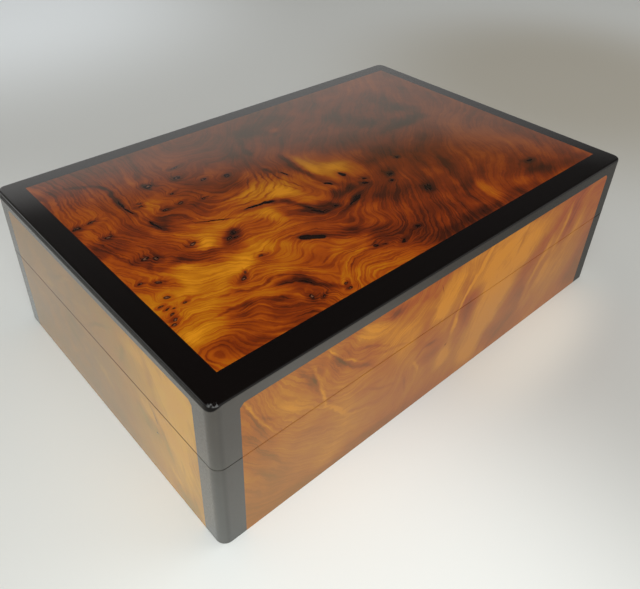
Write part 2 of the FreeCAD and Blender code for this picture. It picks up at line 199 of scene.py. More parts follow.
# The front, read in the same way from its lower left corner.
FRONT_GRAIN = (
    (18, 70, 25), (30, 60, 32), (45, 70, 40), (60, 75, 42), (75, 65, 55), (90, 75, 60), (25, 35, 45),
    (45, 40, 62), (20, 15, 40), (60, 25, 70), (50, 52, 70), (70, 48, 90), (90, 52, 95), (105, 60, 115),
    (120, 68, 125), (133, 72, 150), (110, 48, 112), (125, 55, 105), (140, 60, 120), (145, 45, 150),
    (150, 65, 150), (165, 75, 155), (118, 32, 150), (127, 40, 95), (135, 32, 40), (127, 22, 170),
    (100, 25, 120), (80, 30, 85), (85, 10, 85), (105, 10, 140), (130, 8, 160), (150, 20, 175),
    (160, 45, 165), (175, 55, 140), (190, 65, 132), (205, 50, 128), (185, 30, 135), (210, 25, 128),
    (200, 10, 130), (225, 60, 140), (240, 45, 148), (228, 30, 142), (255, 30, 145), (250, 65, 150),
    (275, 50, 150), (280, 15, 145),
)
FRONT_EYES = ((145.4, 31.4, 0.6, 0.35, 20),)
FRONT_SPLITS = ((133.6, 76, 134.6, 73.6, 0.12),)
FRONT_STROKES = (
    (42, 82, 50, 66, 2.0, -0.2), (47, 80, 55, 55, 1.6, -0.16), (58, 82, 70, 66, 1.8, -0.14),
    (62, 78, 74, 62, 1.5, -0.14), (70, 66, 86, 54, 1.8, -0.16), (14, 80, 24, 60, 1.4, -0.16),
    (16, 60, 34, 28, 2.0, -0.18), (15, 42, 30, 20, 1.8, -0.16), (18, 74, 40, 56, 1.2, -0.12),
    (74, 74, 100, 60, 1.2, -0.12), (84, 62, 112, 54, 1.2, -0.12), (86, 40, 104, 30, 1.6, -0.14),
    (120, 36, 126, 42, 1.8, -0.2), (126, 42, 136, 41, 1.8, -0.2), (112, 30, 116, 18, 1.4, -0.14),
    (60, 40, 96, 20, 1.2, -0.1), (48, 80, 54, 64, 1.6, 0.22), (54, 64, 58, 48, 1.8, 0.26),
    (58, 48, 73, 32, 1.8, 0.26), (175, 86, 162, 69, 2.2, 0.3), (162, 69, 152, 51, 2.2, 0.32),
    (152, 51, 147.6, 35, 2.4, 0.3), (237, 62, 226, 40, 3.4, 0.2), (226, 40, 216, 16, 3.4, 0.16),
    (252, 77, 246, 60, 2.6, 0.2), (246, 60, 238, 44, 2.6, 0.16), (96, 80, 106, 78, 2.6, -0.1),
    (57, 84, 66, 74, 1.0, 0.3), (66, 74, 80, 62, 1.0, 0.22), (13, 83, 21, 70, 1.0, 0.26),
    (21, 70, 28, 58, 1.0, 0.22), (120, 36, 124, 26, 1.6, 0.2), (72, 32, 96, 20, 1.2, 0.14),
    (22, 84, 34, 62, 1.4, 0.08), (206, 82, 196, 60, 1.6, -0.1), (182, 60, 176, 40, 1.6, -0.1),
)
FRONT_CLOUDS = (
    (30, 68, 20, 20, 0, 0.06), (52, 74, 5, 12, -20, -0.16), (66, 72, 12, 8, -35, -0.1),
    (79, 60, 14, 5, -35, -0.08), (102, 79, 12, 5, -10, -0.12), (27, 45, 9, 14, -25, -0.06),
    (30, 25, 12, 6, -30, -0.14), (22, 62, 8, 12, 0, -0.14), (84, 77, 12, 7, 0, 0.22),
    (98, 68, 22, 10, -20, 0.16), (112, 56, 14, 12, 0, 0.16), (138, 64, 9, 12, 20, 0.26),
    (144, 76, 12, 8, 0, 0.2), (70, 40, 12, 14, 0, 0.14), (50, 48, 10, 8, 0, 0.1), (122, 38, 10, 8, 0, 0.14),
    (165, 70, 34, 16, 20, 0.16), (195, 70, 34, 18, 0, 0.28), (225, 72, 22, 12, 20, 0.1),
    (192, 44, 18, 18, 0, 0.3), (172, 30, 16, 30, -20, 0.24), (182, 56, 12, 10, 0, 0.16),
    (168, 10, 14, 12, 0, 0.16), (160, 46, 9, 16, 0, -0.18), (156, 64, 5, 8, 0, -0.12),
    (130, 34, 14, 8, 0, -0.18), (142, 50, 7, 12, -20, 0.08), (146, 26, 8, 10, 0, 0.16),
    (125, 26, 6, 12, 0, 0.06), (205, 34, 26, 12, -28, -0.2), (200, 12, 24, 14, 0, -0.2),
    (238, 55, 5, 26, -32, 0.1), (228, 25, 5, 26, -34, 0.12), (255, 68, 10, 26, -25, -0.1),
    (255, 34, 20, 30, -20, 0.14), (285, 25, 12, 30, 0, -0.16), (275, 70, 12, 22, 0, 0.02),
    (85, 26, 40, 18, 0, 0.02), (112, 45, 10, 8, 0, -0.04), (50, 2, 60, 9, 0, -0.24),
    (110, 2, 40, 8, 0, -0.16), (16, 16, 8, 20, 0, -0.1), (150, 45, 190, 90, 0, 0.05),
    (183, 30, 12, 22, -25, 0.26), (170, 12, 12, 12, 0, 0.12), (62, 12, 14, 10, 0, 0.2),
    (74, 26, 12, 14, 0, 0.14), (144, 22, 10, 8, 0, 0.2), (134, 58, 9, 9, 0, 0.16), (146, 66, 7, 8, 0, 0.14),
    (174, 56, 8, 12, 0, 0.16), (204, 59, 12, 10, 0, 0.16), (240, 34, 9, 20, -25, 0.18),
    (264, 58, 9, 16, -20, 0.12), (110, 45, 10, 9, 0, 0.12), (40, 62, 14, 7, -30, 0.14),
    (68, 56, 14, 8, 0, 0.1), (98, 58, 12, 6, -20, 0.1), (82, 50, 10, 7, 0, 0.1), (158, 83, 12, 6, 0, 0.16),
    (186, 83, 14, 5, 0, 0.12), (208, 81, 14, 5, 0, 0.12), (56, 79, 7, 5, 0, 0.12),
    (276, 12, 14, 16, 0, -0.14), (28, 16, 20, 10, 0, -0.08), (200, 38, 16, 10, -28, 0.1),
    (120, 70, 12, 6, -20, 0.1), (36, 44, 12, 9, 0, 0.08),
)
# The left side, read in the same way from its lower back corner.
LEFT_GRAIN = (
    (20, 70, 120), (45, 65, 122), (70, 65, 125), (95, 65, 128), (115, 68, 130), (135, 65, 40),
    (150, 65, 35), (170, 68, 30), (20, 30, 110), (50, 30, 115), (80, 35, 105), (100, 30, 60), (120, 35, 35),
    (140, 40, 30), (155, 40, 25), (172, 40, 20), (90, 12, 60), (130, 12, 30), (160, 15, 25), (180, 15, 15),
)
LEFT_EYES = ((152, 33, 0.8, 0.5, 0),)
LEFT_SPLITS = ((152, 46, 155, 41, 0.2),)
LEFT_STROKES = (
    (150, 52, 158, 38, 3.0, -0.37), (158, 38, 165, 24, 2.6, -0.31), (126, 58, 133, 72, 2.4, -0.24),
    (148, 80, 157, 62, 3.4, -0.27), (138, 42, 146, 30, 2.6, -0.27), (88, 54, 118, 72, 1.8, -0.2),
    (98, 58, 122, 76, 1.4, -0.17), (52, 62, 76, 75, 2.0, -0.2), (62, 66, 84, 77, 1.4, 0.17),
    (172, 36, 173, 24, 1.8, -0.27), (62, 42, 84, 30, 3.0, -0.2), (40, 54, 66, 60, 2.4, 0.17),
    (92, 40, 110, 28, 3.4, 0.24), (165, 84, 172, 56, 2.0, 0.2), (176, 50, 181, 26, 2.0, 0.24),
    (160, 20, 176, 8, 2.6, 0.2), (140, 50, 150, 40, 2.4, 0.24),
)
LEFT_CLOUDS = (
    (173, 66, 22, 26, 0, 0.38), (160, 64, 8, 14, -25, -0.18), (174, 34, 14, 26, 0, 0.25),
    (150, 36, 10, 12, -25, -0.25), (130, 62, 10, 12, 0, -0.1), (100, 30, 26, 22, 0, 0.03),
    (74, 42, 10, 12, 0, -0.18), (156, 14, 16, 16, 0, 0.1), (50, 62, 20, 8, 20, 0.07),
    (25, 70, 16, 14, 0, -0.05), (150, 46, 14, 10, 0, 0.2), (152, 74, 14, 10, 0, 0.2),
    (40, 10, 60, 12, 0, -0.12), (110, 6, 50, 10, 0, -0.15), (176, 5, 16, 10, 0, -0.33),
    (90, 82, 90, 5, 0, -0.15), (152, 43, 9, 9, 0, 0.3), (163, 42, 10, 10, 0, 0.25),
    (142, 76, 14, 8, 0, 0.25), (160, 68, 10, 12, -25, 0.25), (178, 74, 14, 12, 0, 0.2),
    (172, 36, 10, 10, 0, 0.18), (90, 68, 20, 12, 10, 0.12), (103, 38, 14, 14, 0, 0.1),
    (138, 34, 9, 12, 0, -0.12), (122, 26, 12, 12, 0, -0.12), (74, 48, 9, 7, 0, -0.15),
    (86, 18, 16, 12, 0, -0.12), (20, 18, 16, 20, 0, -0.18),
)


class VeneerSettings(bpy.types.PropertyGroup):
    """The burl's tones from its darkest eye to its palest figure, and its lacquer."""

    pith: bpy.props.FloatVectorProperty(
        name="Pith", description="Darkest tone, in eyes and splits", subtype="COLOR", size=4,
        default=(0.010, 0.004, 0.002, 1), min=0, max=1,
    )
    umber: bpy.props.FloatVectorProperty(
        name="Umber", description="Dark clouds of the figure", subtype="COLOR", size=4,
        default=(0.060, 0.010, 0.002, 1), min=0, max=1,
    )
    russet: bpy.props.FloatVectorProperty(
        name="Russet", description="Red-brown of the figure", subtype="COLOR", size=4,
        default=(0.180, 0.024, 0.0015, 1), min=0, max=1,
    )
    orange: bpy.props.FloatVectorProperty(
        name="Orange", description="Middle tone of the figure", subtype="COLOR", size=4,
        default=(0.320, 0.058, 0.0015, 1), min=0, max=1,
    )
    honey: bpy.props.FloatVectorProperty(
        name="Honey", description="Pale tone of the figure", subtype="COLOR", size=4,
        default=(0.420, 0.132, 0.002, 1), min=0, max=1,
    )
    straw: bpy.props.FloatVectorProperty(
        name="Straw", description="Palest tone of the figure", subtype="COLOR", size=4,
        default=(0.600, 0.220, 0.006, 1), min=0, max=1,
    )
    heart: bpy.props.FloatVectorProperty(
        name="Heart", description="Pale tone in the middle of an eye", subtype="COLOR", size=4,
        default=(0.300, 0.120, 0.060, 1), min=0, max=1,
    )
    lacquer_roughness: bpy.props.FloatProperty(
        name="Lacquer roughness", description="How much the clear lacquer blurs what it reflects",
        default=0.06, min=0, max=1, subtype="FACTOR",
    )


class LippingSettings(bpy.types.PropertyGroup):
    """The black lippings round the top and down the corners."""

    black: bpy.props.FloatVectorProperty(
        name="Black", description="Colour of the lippings on the top", subtype="COLOR", size=4,
        default=(0.004, 0.0028, 0.0024, 1), min=0, max=1,
    )
    # The sides' greyer colour is painted sheen, standing in for the pale table mirrored in the black
    # lacquer.
    painted_side_sheen: bpy.props.FloatVectorProperty(
        name="Bloom", description="Greyer colour of the lippings on the sides", subtype="COLOR", size=4,
        default=(0.036, 0.027, 0.017, 1), min=0, max=1,
    )


class LiningSettings(bpy.types.PropertyGroup):
    """The felt sheet laid on the bottom board."""

    thickness: bpy.props.FloatProperty(
        name="Thickness", description="Thickness of the felt", default=0.8 * MM, min=0.2 * MM, max=3 * MM,
        subtype="DISTANCE", unit="LENGTH",
    )
    nap: bpy.props.FloatVectorProperty(
        name="Nap", description="Colour of the felt", subtype="COLOR", size=4,
        default=(0.026, 0.026, 0.028, 1), min=0, max=1,
    )


class StageSettings(bpy.types.PropertyGroup):
    """The floor, the lamps and the camera's place round the box."""

    floor_reach: bpy.props.FloatProperty(
        name="Floor reach", description="How far the floor runs from the box's middle", default=4.0, min=1,
        subtype="DISTANCE", unit="LENGTH",
    )
    # The floor's two colours are painted light: bright by the front and darker behind, as a pool of light.
    floor_lit_near: bpy.props.FloatVectorProperty(
        name="Floor by the front", description="Colour of the floor before the box", subtype="COLOR", size=4,
        default=(0.86, 0.88, 0.84, 1), min=0, max=1,
    )
    floor_shaded_far: bpy.props.FloatVectorProperty(
        name="Floor behind", description="Colour of the floor behind the box", subtype="COLOR", size=4,
        default=(0.48, 0.48, 0.45, 1), min=0, max=1,
    )
    camera_place: bpy.props.FloatVectorProperty(
        name="Camera place", description="Where the camera stands", subtype="XYZ", unit="LENGTH", size=3,
        default=(-0.23154, -0.23771, 0.27454),
    )
    camera_turn: bpy.props.FloatProperty(
        name="Camera turn", description="Which way it looks, from straight at the back towards the right",
        subtype="ANGLE", unit="ROTATION", default=math.radians(42.40),
    )
    camera_dip: bpy.props.FloatProperty(
        name="Camera dip", description="How far it looks down", subtype="ANGLE", unit="ROTATION",
        default=math.radians(35.91),
    )
    camera_roll: bpy.props.FloatProperty(
        name="Camera roll", description="How far its right side is raised", subtype="ANGLE", unit="ROTATION",
        default=math.radians(1.50),
    )
    lens: bpy.props.FloatProperty(
        name="Lens", description="Focal length on a 36 mm wide sensor", default=37.27, min=10,
        subtype="DISTANCE_CAMERA", unit="CAMERA",
    )
    shift: bpy.props.FloatVectorProperty(
        name="Shift", description="How far the picture's middle is moved, in parts of its width", size=2,
        default=(0.0219, -0.0689),
    )


class Value:
    """One socket's value in a sum. Each operator adds the Math node that works it out."""

    def __init__(self, graph, socket):
        self.graph = graph
        self.socket = socket

    def math(self, operation, *others):
        """The Math node of that operation on this value and the others."""
        return self.graph.node("ShaderNodeMath", {"operation": operation}, dict(enumerate((self, *others))))

    def __add__(self, other):
        return self.math("ADD", other)

    __radd__ = __add__

    def __sub__(self, other):
        return self.math("SUBTRACT", other)

    def __rsub__(self, other):
        return self.graph.node("ShaderNodeMath", {"operation": "SUBTRACT"}, {0: other, 1: self})

    def __mul__(self, other):
        return self.math("MULTIPLY", other)

    __rmul__ = __mul__

    def __truediv__(self, other):
        return self.math("DIVIDE", other)


class Graph:
    """The node tree of one material, filled with nodes by plain calls."""

    def __init__(self, tree):
        self.tree = tree
        tree.nodes.clear()

    def node(self, kind, settings, inputs, output=0):
        """Adds a node: its settings first, then its sockets' values or links. Gives the output asked for."""
        made = self.tree.nodes.new(kind)
        for name, setting in settings.items():
            if name == "stops":
                fill_ramp(made.color_ramp, setting)
            else:
                setattr(made, name, setting)
        for key, value in inputs.items():
            if isinstance(value, Value):
                self.tree.links.new(value.socket, made.inputs[key])
            else:
                made.inputs[key].default_value = value
        return Value(self, made.outputs[output]) if made.outputs else None

    def place(self):
        """A point's place on the box, in metres."""
        return self.node("ShaderNodeTexCoord", {}, {}, "Object")

    def parts_of(self, vector):
        """A vector's three numbers."""
        split = self.node("ShaderNodeSeparateXYZ", {}, {0: vector})
        return [Value(self, socket) for socket in split.socket.node.outputs]

    def point(self, x, y, z=0.0):
        """A vector made of three numbers."""
        return self.node("ShaderNodeCombineXYZ", {}, {0: x, 1: y, 2: z})

    def noise(self, vector, scale, detail, roughness, distortion=0.0, output="Fac"):
        """Cloudy noise, with its middle at one half."""
        sockets = {
            "Vector": vector, "Scale": scale, "Detail": detail, "Roughness": roughness,
            "Distortion": distortion,
        }
        return self.node("ShaderNodeTexNoise", {}, sockets, output)

    def wander(self, vector, scale, detail, roughness, reach):
        """A shift in a face's plane, of up to half the reach each way, from cloudy noise."""
        cloud = self.noise(vector, scale, detail, roughness, output="Color")
        centred = self.vector_math("SUBTRACT", cloud, (0.5, 0.5, 0.5))
        return self.vector_math("MULTIPLY", centred, (reach, reach, 0))

    def vector_math(self, operation, a, b, output="Vector"):
        """A Vector Math node on two vectors."""
        return self.node("ShaderNodeVectorMath", {"operation": operation}, {0: a, 1: b}, output)

    def ease(self, value, start, end, first=0.0, last=1.0):
        """Runs smoothly from first to last while the value goes from start to end, and is level outside."""
        settings = {"interpolation_type": "SMOOTHERSTEP", "clamp": False}
        return self.node("ShaderNodeMapRange", settings, {0: value, 1: start, 2: end, 3: first, 4: last})

    def oval(self, point, across, up, half_length, half_width, turn):
        """How near a point is to an oval's middle: 1 there, falling evenly to 0 at its rim."""
        sockets = {0: point, 1: (across, up, 0), 2: (0, 0, turn), 3: (half_length, half_width, 1)}
        spot = self.node("ShaderNodeMapping", {"vector_type": "TEXTURE"}, sockets)
        return self.node("ShaderNodeTexGradient", {"gradient_type": "SPHERICAL"}, {0: spot}, "Fac")

    def mix(self, factor, a, b):
        """Colour a to colour b by a factor."""
        return self.node("ShaderNodeMix", {"data_type": "RGBA"}, {0: factor, 6: a, 7: b}, 2)

    def ramp(self, value, stops):
        """A colour for a value, by stops of place and colour."""
        return self.node("ShaderNodeValToRGB", {"stops": stops}, {0: value})

    def bump(self, height, distance, strength):
        """A normal tilted by a height."""
        sockets = {"Height": height, "Distance": distance, "Strength": strength}
        return self.node("ShaderNodeBump", {}, sockets)

    def surface(self, sockets):
        """The one Principled shader, joined to the output."""
        shader = self.node("ShaderNodeBsdfPrincipled", {}, sockets)
        self.node("ShaderNodeOutputMaterial", {}, {"Surface": shader})


def fill_ramp(ramp, stops):
    """Gives a colour ramp its stops of place and colour."""
    while len(ramp.elements) < len(stops):
        ramp.elements.new(1)
    for element, (place, colour) in zip(ramp.elements, stops):
        element.position = place
        element.color = colour


def new_material(name):
    """An empty material and its graph."""
    material = bpy.data.materials.new(name)
    material.use_nodes = True
    return material, Graph(material.node_tree)


def finish_nodes(names, material):
    """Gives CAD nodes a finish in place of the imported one."""
    for name in names:
        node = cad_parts[name]
        node.data.materials.clear()
        node.data.materials.append(material)


def on_sides(ending, *sides):
    """The names of the body's and the lid's nodes on some sides."""
    return [f"{part}_{side}_{ending}" for part in ("body", "lid") for side in sides]


def grain_flow(readings):
    """Solves a relief whose contour lines run with the grain.

    The relief is a tilted plane plus one mound at each reading. With r the distance from the reading
    over the mound's reach, a mound is its height times 1 - (6 r^5 - 15 r^4 + 10 r^3) up to r = 1, so its
    slope goes with -30 r^2 (1 - r)^2. Its reach goes past the third nearest reading. The mounds' heights
    and the plane's tilt are the least squares answer that gives the relief, at every reading, a slope of
    one in the direction read. Gives the places, reaches, heights and tilt.
    """
    neighbour, widen, stiffness, tiny = 3, 2.7, 0.002, 1e-9
    rows = np.array(readings, float)
    places = rows[:, :2]
    wanted = np.stack([np.cos(np.radians(rows[:, 2])), np.sin(np.radians(rows[:, 2]))])
    offset = places[:, None] - places[None]
    apart = np.sqrt((offset ** 2).sum(-1))
    reach = np.sort(apart, 1)[:, neighbour] * widen
    ratio = np.clip(apart / reach, tiny, 1)
    steepness = -30 * ratio ** 2 * (1 - ratio) ** 2
    slopes = steepness[..., None] * offset / np.maximum(apart, tiny)[..., None]
    count = len(rows)
    plane = np.zeros((2, count, 2))
    plane[0, :, 0] = 1
    plane[1, :, 1] = 1
    system = np.concatenate([np.concatenate([slopes[..., k], plane[k]], 1) for k in range(2)])
    answer = np.linalg.solve(system.T @ system + stiffness * np.eye(count + 2), system.T @ wanted.ravel())
    return places, reach, answer[:count] * reach, answer[count:]


def relief(graph, point, across, up, readings):
    """The nodes of grain_flow's relief at a point."""
    places, reaches, heights, tilt = grain_flow(readings)
    total = across * float(tilt[0]) + up * float(tilt[1])
    for place, reach, height in zip(places, reaches, heights):
        far = graph.vector_math("DISTANCE", point, (float(place[0]), float(place[1]), 0), "Value")
        total = total + graph.ease(far, 0, float(reach), float(height), 0)
    return total


def nearest_oval(graph, point, ovals):
    """Distance from the nearest of some ovals, where 1 is its rim, up to OVAL_REACH."""
    nearest = None
    for across, up, half_length, half_width, turn in ovals:
        sizes = (half_length * OVAL_REACH, half_width * OVAL_REACH)
        near = graph.oval(point, across, up, *sizes, math.radians(turn))
        nearest = near if nearest is None else nearest.math("MAXIMUM", near)
    return (1 - nearest) * OVAL_REACH


def between(x0, y0, x1, y1, half_width, overlap=1.15):
    """The oval that lies along a line between two points."""
    half_length = math.hypot(x1 - x0, y1 - y0) / 2 * overlap
    return (x0 + x1) / 2, (y0 + y1) / 2, half_length, half_width, math.degrees(math.atan2(y1 - y0, x1 - x0))


class Change(NamedTuple):
    """A smooth change over a face, as its two coordinates, weighted and added, go from start to end."""

    weight_x: float
    weight_y: float
    start: float
    end: float
    first: float
    last: float

    def over(self, graph, flat_x, flat_y):
        """The changing number at a point of the face."""
        weighted = flat_x * self.weight_x + flat_y * self.weight_y
        return graph.ease(weighted, self.start, self.end, self.first, self.last)


def burl_tone(graph, flat, figure, crisp):
    """The figure of the burl at a point: its tone, its dark eyes and splits, and the nearest eye.

    figure holds the grain, eyes, splits, strokes and clouds, and crisp is how clear the lines are.
    """
    grain, eyes, splits, strokes, clouds = figure
    stroke_overlap, cloud_spread, cloud_strength = 1.35, 1.3, 1.25
    clouds = [*clouds, *((*between(*stroke[:5], stroke_overlap), stroke[5]) for stroke in strokes)]

    # The figure wanders a little from its drawn places, at two sizes.
    drift = graph.wander(flat, 0.045, 1.0, 0.5, 7)
    ripple = graph.wander(flat, 0.22, 2.0, 0.55, 2.6)
    point = graph.vector_math("ADD", graph.vector_math("ADD", flat, drift), ripple)
    here_x, here_y, _ = graph.parts_of(point)

    # The distances come first, because few values can be kept while the long sum of clouds is added up.
    split = nearest_oval(graph, graph.vector_math("ADD", flat, ripple), [between(*ends) for ends in splits])
    eye = nearest_oval(graph, point, eyes)
    pale = 0.60 - graph.ease(split, 0.8, 4.0, 0.14, 0) - graph.ease(eye, 0.9, 3.0, 0.16, 0)
    dark = graph.ease(split, 0.7, 1.25, 1, 0).math("MAXIMUM", graph.ease(eye, 0.55, 1.1, 0.92, 0))
    contour = relief(graph, point, here_x, here_y, grain) + graph.ease(eye, 0.6, 4.5, 3.2, 0)

    def streaks(across_lines, along_lines, detail, roughness):
        """Noise that is squeezed across the contours and stretched along them."""
        drawn = graph.point(contour * across_lines, here_x * along_lines, here_y * along_lines)
        return graph.noise(drawn, 1.0, detail, roughness)

    wide = streaks(0.16, 0.02, 1.5, 0.5)
    bands = streaks(0.42, 0.03, 2.0, 0.6)
    lines = streaks(0.95, 0.04, 1.5, 0.5)
    hairs = streaks(2.4, 0.08, 2.0, 0.6)
    tone = pale + (wide - 0.5) * 0.30 + (bands - 0.5) * crisp * 0.34 + (hairs - 0.5) * crisp * 0.26
    tone = tone + graph.ease(lines, 0.36, 0.58, -0.09, 0.06) * crisp
    blotch = graph.noise(point, 0.10, 3.0, 0.6)
    tone = tone + (blotch - 0.5) * 0.26
    for cloud_x, cloud_y, half_length, half_width, turn, amount in clouds:
        sizes = (half_length * cloud_spread, half_width * cloud_spread)
        near = graph.oval(point, cloud_x, cloud_y, *sizes, math.radians(turn))
        tone = tone + graph.ease(near, 0, 1, 0, amount * cloud_strength)
    return tone, dark, eye


def burl(name, settings, across, up, figure, calm, washes, shine, seam_shade=0, patchy=0):
    """The burl veneer of one pair of faces, under clear lacquer.

    across and up are functions that give a face's two coordinates in millimetres from a place on the
    box, and figure is what burl_tone takes. calm is the Change by which the figure's lines grow faint.
    Each wash is a colour and the Change by which it is laid over the figure; the washes hold painted
    shade and painted reflection. shine is how strongly the lacquer mirrors, seam_shade how dark the line
    along the seam is, and patchy how much the washes come and go.
    """
    material, graph = new_material(name)
    x, y, z = graph.parts_of(graph.place())
    flat_x, flat_y = across(x, y, z), up(x, y, z)
    flat = graph.point(flat_x, flat_y)
    crisp = calm.over(graph, flat_x, flat_y)
    tone, dark, eye = burl_tone(graph, flat, figure, crisp)
    colour = graph.ramp(tone, (
        (0.00, settings.pith), (0.22, settings.umber), (0.42, settings.russet),
        (0.60, settings.orange), (0.80, settings.honey), (1.00, settings.straw),
    ))
    for wash, change in washes:
        share = change.over(graph, flat_x, flat_y)
        if patchy:
            patches = graph.noise(flat, 0.06, 2.0, 0.6)
            share = share * graph.ease(patches, 0.36, 0.64, 1 - patchy, 1 + patchy)
            # The side at the box's right end takes less of the washes than the one at its left.
            share = share * graph.ease(x, 0, 10 * MM, 1, 0.55)
        colour = graph.mix(share, colour, wash)
    if seam_shade:
        off_seam = (flat_y - SEAM / MM).math("ABSOLUTE")
        colour = graph.mix(graph.ease(off_seam, 0.3, 0.8, seam_shade, 0), colour, settings.umber)
    colour = graph.mix(dark, colour, settings.pith)
    specks = graph.noise(graph.point(flat_x * 0.5, flat_y * 1.3), 0.9, 1.0, 0.5)
    heart = graph.ease(eye, 0.1, 0.7, 0.55, 0) * graph.ease(specks, 0.44, 0.60)
    heart = heart * graph.ease(flat_x, 90, 110, 1, 0)
    colour = graph.mix(heart, colour, settings.heart)
    graph.surface({
        "Base Color": colour,
        "Roughness": 0.42,
        "Specular IOR Level": 0.06,
        "Coat Weight": shine,
        "Coat Roughness": settings.lacquer_roughness,
        "Coat IOR": 1.5,
    })
    return material


class KEEPSAKE_OT_top_veneer(bpy.types.Operator):
    """Lays the burl panel of the lid's top"""

    bl_idname = "keepsake.top_veneer"
    bl_label = "Top veneer"

    def execute(self, context):
        # The first wash is painted shade: it darkens the far and right part of the top, where the light
        # falls off.
        painted_far_shade = (0.05, 0.034, 0.008, 1)
        material = burl(
            "top_burl", context.scene.keepsake_veneer,
            across=lambda x, y, z: (x - LOW.x) / MM,
            up=lambda x, y, z: (y - LOW.y) / MM,
            figure=(TOP_GRAIN, TOP_EYES, TOP_SPLITS, TOP_STROKES, TOP_CLOUDS),
            calm=Change(0.8, 0.7, 110, 230, 1, 0.4),
            washes=((painted_far_shade, Change(0.55, 1, 100, 260, 0, 0.5)),),
            shine=1.0,
        )
        finish_nodes(["top_burl_panel"], material)
        return {"FINISHED"}


class KEEPSAKE_OT_side_veneers(bpy.types.Operator):
    """Lays the burl of the front, back, left and right, each running across the seam"""

    bl_idname = "keepsake.side_veneers"
    bl_label = "Side veneers"

    def execute(self, context):
        settings = context.scene.keepsake_veneer
        # Both washes of the long sides are painted reflection: a veil of the pale floor, stronger towards
        # the bottom and towards the left end.
        painted_floor_reflection, painted_reflection_left = (0.35, 0.18, 0.075, 1), (0.48, 0.28, 0.08, 1)
        long_sides = burl(
            "front_burl", settings,
            across=lambda x, y, z: (x - LOW.x) / MM,
            up=lambda x, y, z: z / MM,
            figure=(FRONT_GRAIN, FRONT_EYES, FRONT_SPLITS, FRONT_STROKES, FRONT_CLOUDS),
            calm=Change(1, -0.3, -40, 170, 1, 0.4),
            washes=(
                (painted_floor_reflection, Change(0, -1, -82, -12, 0.06, 0.5)),
                (painted_reflection_left, Change(-1, 0, -150, -10, 0, 0.26)),
            ),
            shine=0.3,
            seam_shade=0.22,
        )
        # The second wash of the short sides is painted shade, darker towards the back end.
        amber, painted_shade_back = (0.68, 0.39, 0.004, 1), (0.185, 0.105, 0.036, 1)
        short_sides = burl(
            "left_burl", settings,
            across=lambda x, y, z: (HIGH.y - y) / MM,
            up=lambda x, y, z: z / MM,
            figure=(LEFT_GRAIN, LEFT_EYES, LEFT_SPLITS, LEFT_STROKES, LEFT_CLOUDS),
            calm=Change(-1, -0.2, -195, -120, 1, 0.4),
            washes=(
                (amber, Change(1, 0, 0, 1, 0, 0.52)),
                (painted_shade_back, Change(-1, -0.2, -195, -90, 0.04, 0.66)),
            ),
            shine=0.92,
            seam_shade=0.7,
            patchy=0.12,
        )
        finish_nodes(on_sides("burl", "front", "back"), long_sides)
        finish_nodes(on_sides("burl", "left", "right"), short_sides)
        return {"FINISHED"}


class KEEPSAKE_OT_lippings(bpy.types.Operator):
    """Blackens the lippings round the top and down the corners"""

    bl_idname = "keepsake.lippings"
    bl_label = "Lippings"

    def execute(self, context):
        settings = context.scene.keepsake_lipping
        material, graph = new_material("ebonised")
        place = graph.place()
        x, _, z = graph.parts_of(place)
        # On the short sides the top's black and its coat run a little way down the band; the black there is
        # a painted reflection, standing in for the dark that a rounder arris mirrors.
        fall = graph.ease(x.math("ABSOLUTE"), HIGH.x - 6 * MM, HIGH.x, 0, 2.4 * MM)
        under_top = graph.ease(z + fall, HIGH.z - 1.8 * MM, HIGH.z - 0.9 * MM, 1, 0)
        pores = graph.noise(place, 900, 3, 0.6)
        haze = graph.noise(place, 35, 3, 0.55)
        chips = graph.noise(place, 700, 2, 0.6)
        worn = graph.oval(place, LOW.x + 2.2 * MM, LOW.y + 1.2 * MM, 4.5 * MM, 2.5 * MM, math.radians(-35))
        wear = graph.ease(worn, 0.3, 0.7) * graph.ease(chips, 0.48, 0.62)
        wear = wear * graph.ease(z, HIGH.z - 1.6 * MM, HIGH.z - 1 * MM)
        # The sides' colour is painted sheen, greyer than the top's black: paler in patches, painted paler
        # towards the foot as the mirrored floor, and darker away from the left end and most towards the
        # right, where less is mirrored.
        paler_patch, painted_floor_sheen = (0.054, 0.050, 0.040, 1), (0.115, 0.124, 0.116, 1)
        deep, scuff = (0.010, 0.007, 0.004, 1), (0.45, 0.46, 0.45, 1)
        side = graph.mix(graph.ease(haze, 0.3, 0.7, 0, 0.5), settings.painted_side_sheen, paler_patch)
        side = graph.mix(graph.ease(z, 0, 90 * MM, 0.5, 0.1), side, painted_floor_sheen)
        rightwards = graph.ease(x, LOW.x + 4 * MM, HIGH.x - 60 * MM, 0, 1)
        less_painted_sheen = rightwards * 0.6 + graph.ease(x, LOW.x + 2 * MM, LOW.x + 4 * MM, 0, 0.32)
        side = graph.mix(less_painted_sheen, side, deep)
        colour = graph.mix(under_top, settings.black, side)
        colour = graph.mix(wear * 0.2, colour, scuff)
        gloss = graph.ease(z, HIGH.z - 1.2 * MM, HIGH.z - 0.5 * MM)
        graph.surface({
            "Base Color": colour,
            "Roughness": graph.ease(pores, 0.3, 0.7, 0.30, 0.42),
            "Specular IOR Level": 0.07,
            "Coat Weight": gloss.math("MAXIMUM", under_top * (1 - rightwards * 0.75)),
            "Coat Roughness": 0.05,
            "Coat IOR": 1.5,
        })
        corners = [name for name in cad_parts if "_corner_" in name]
        edges = [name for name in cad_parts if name.startswith("top_edge_")]
        finish_nodes(corners + edges, material)
        return {"FINISHED"}


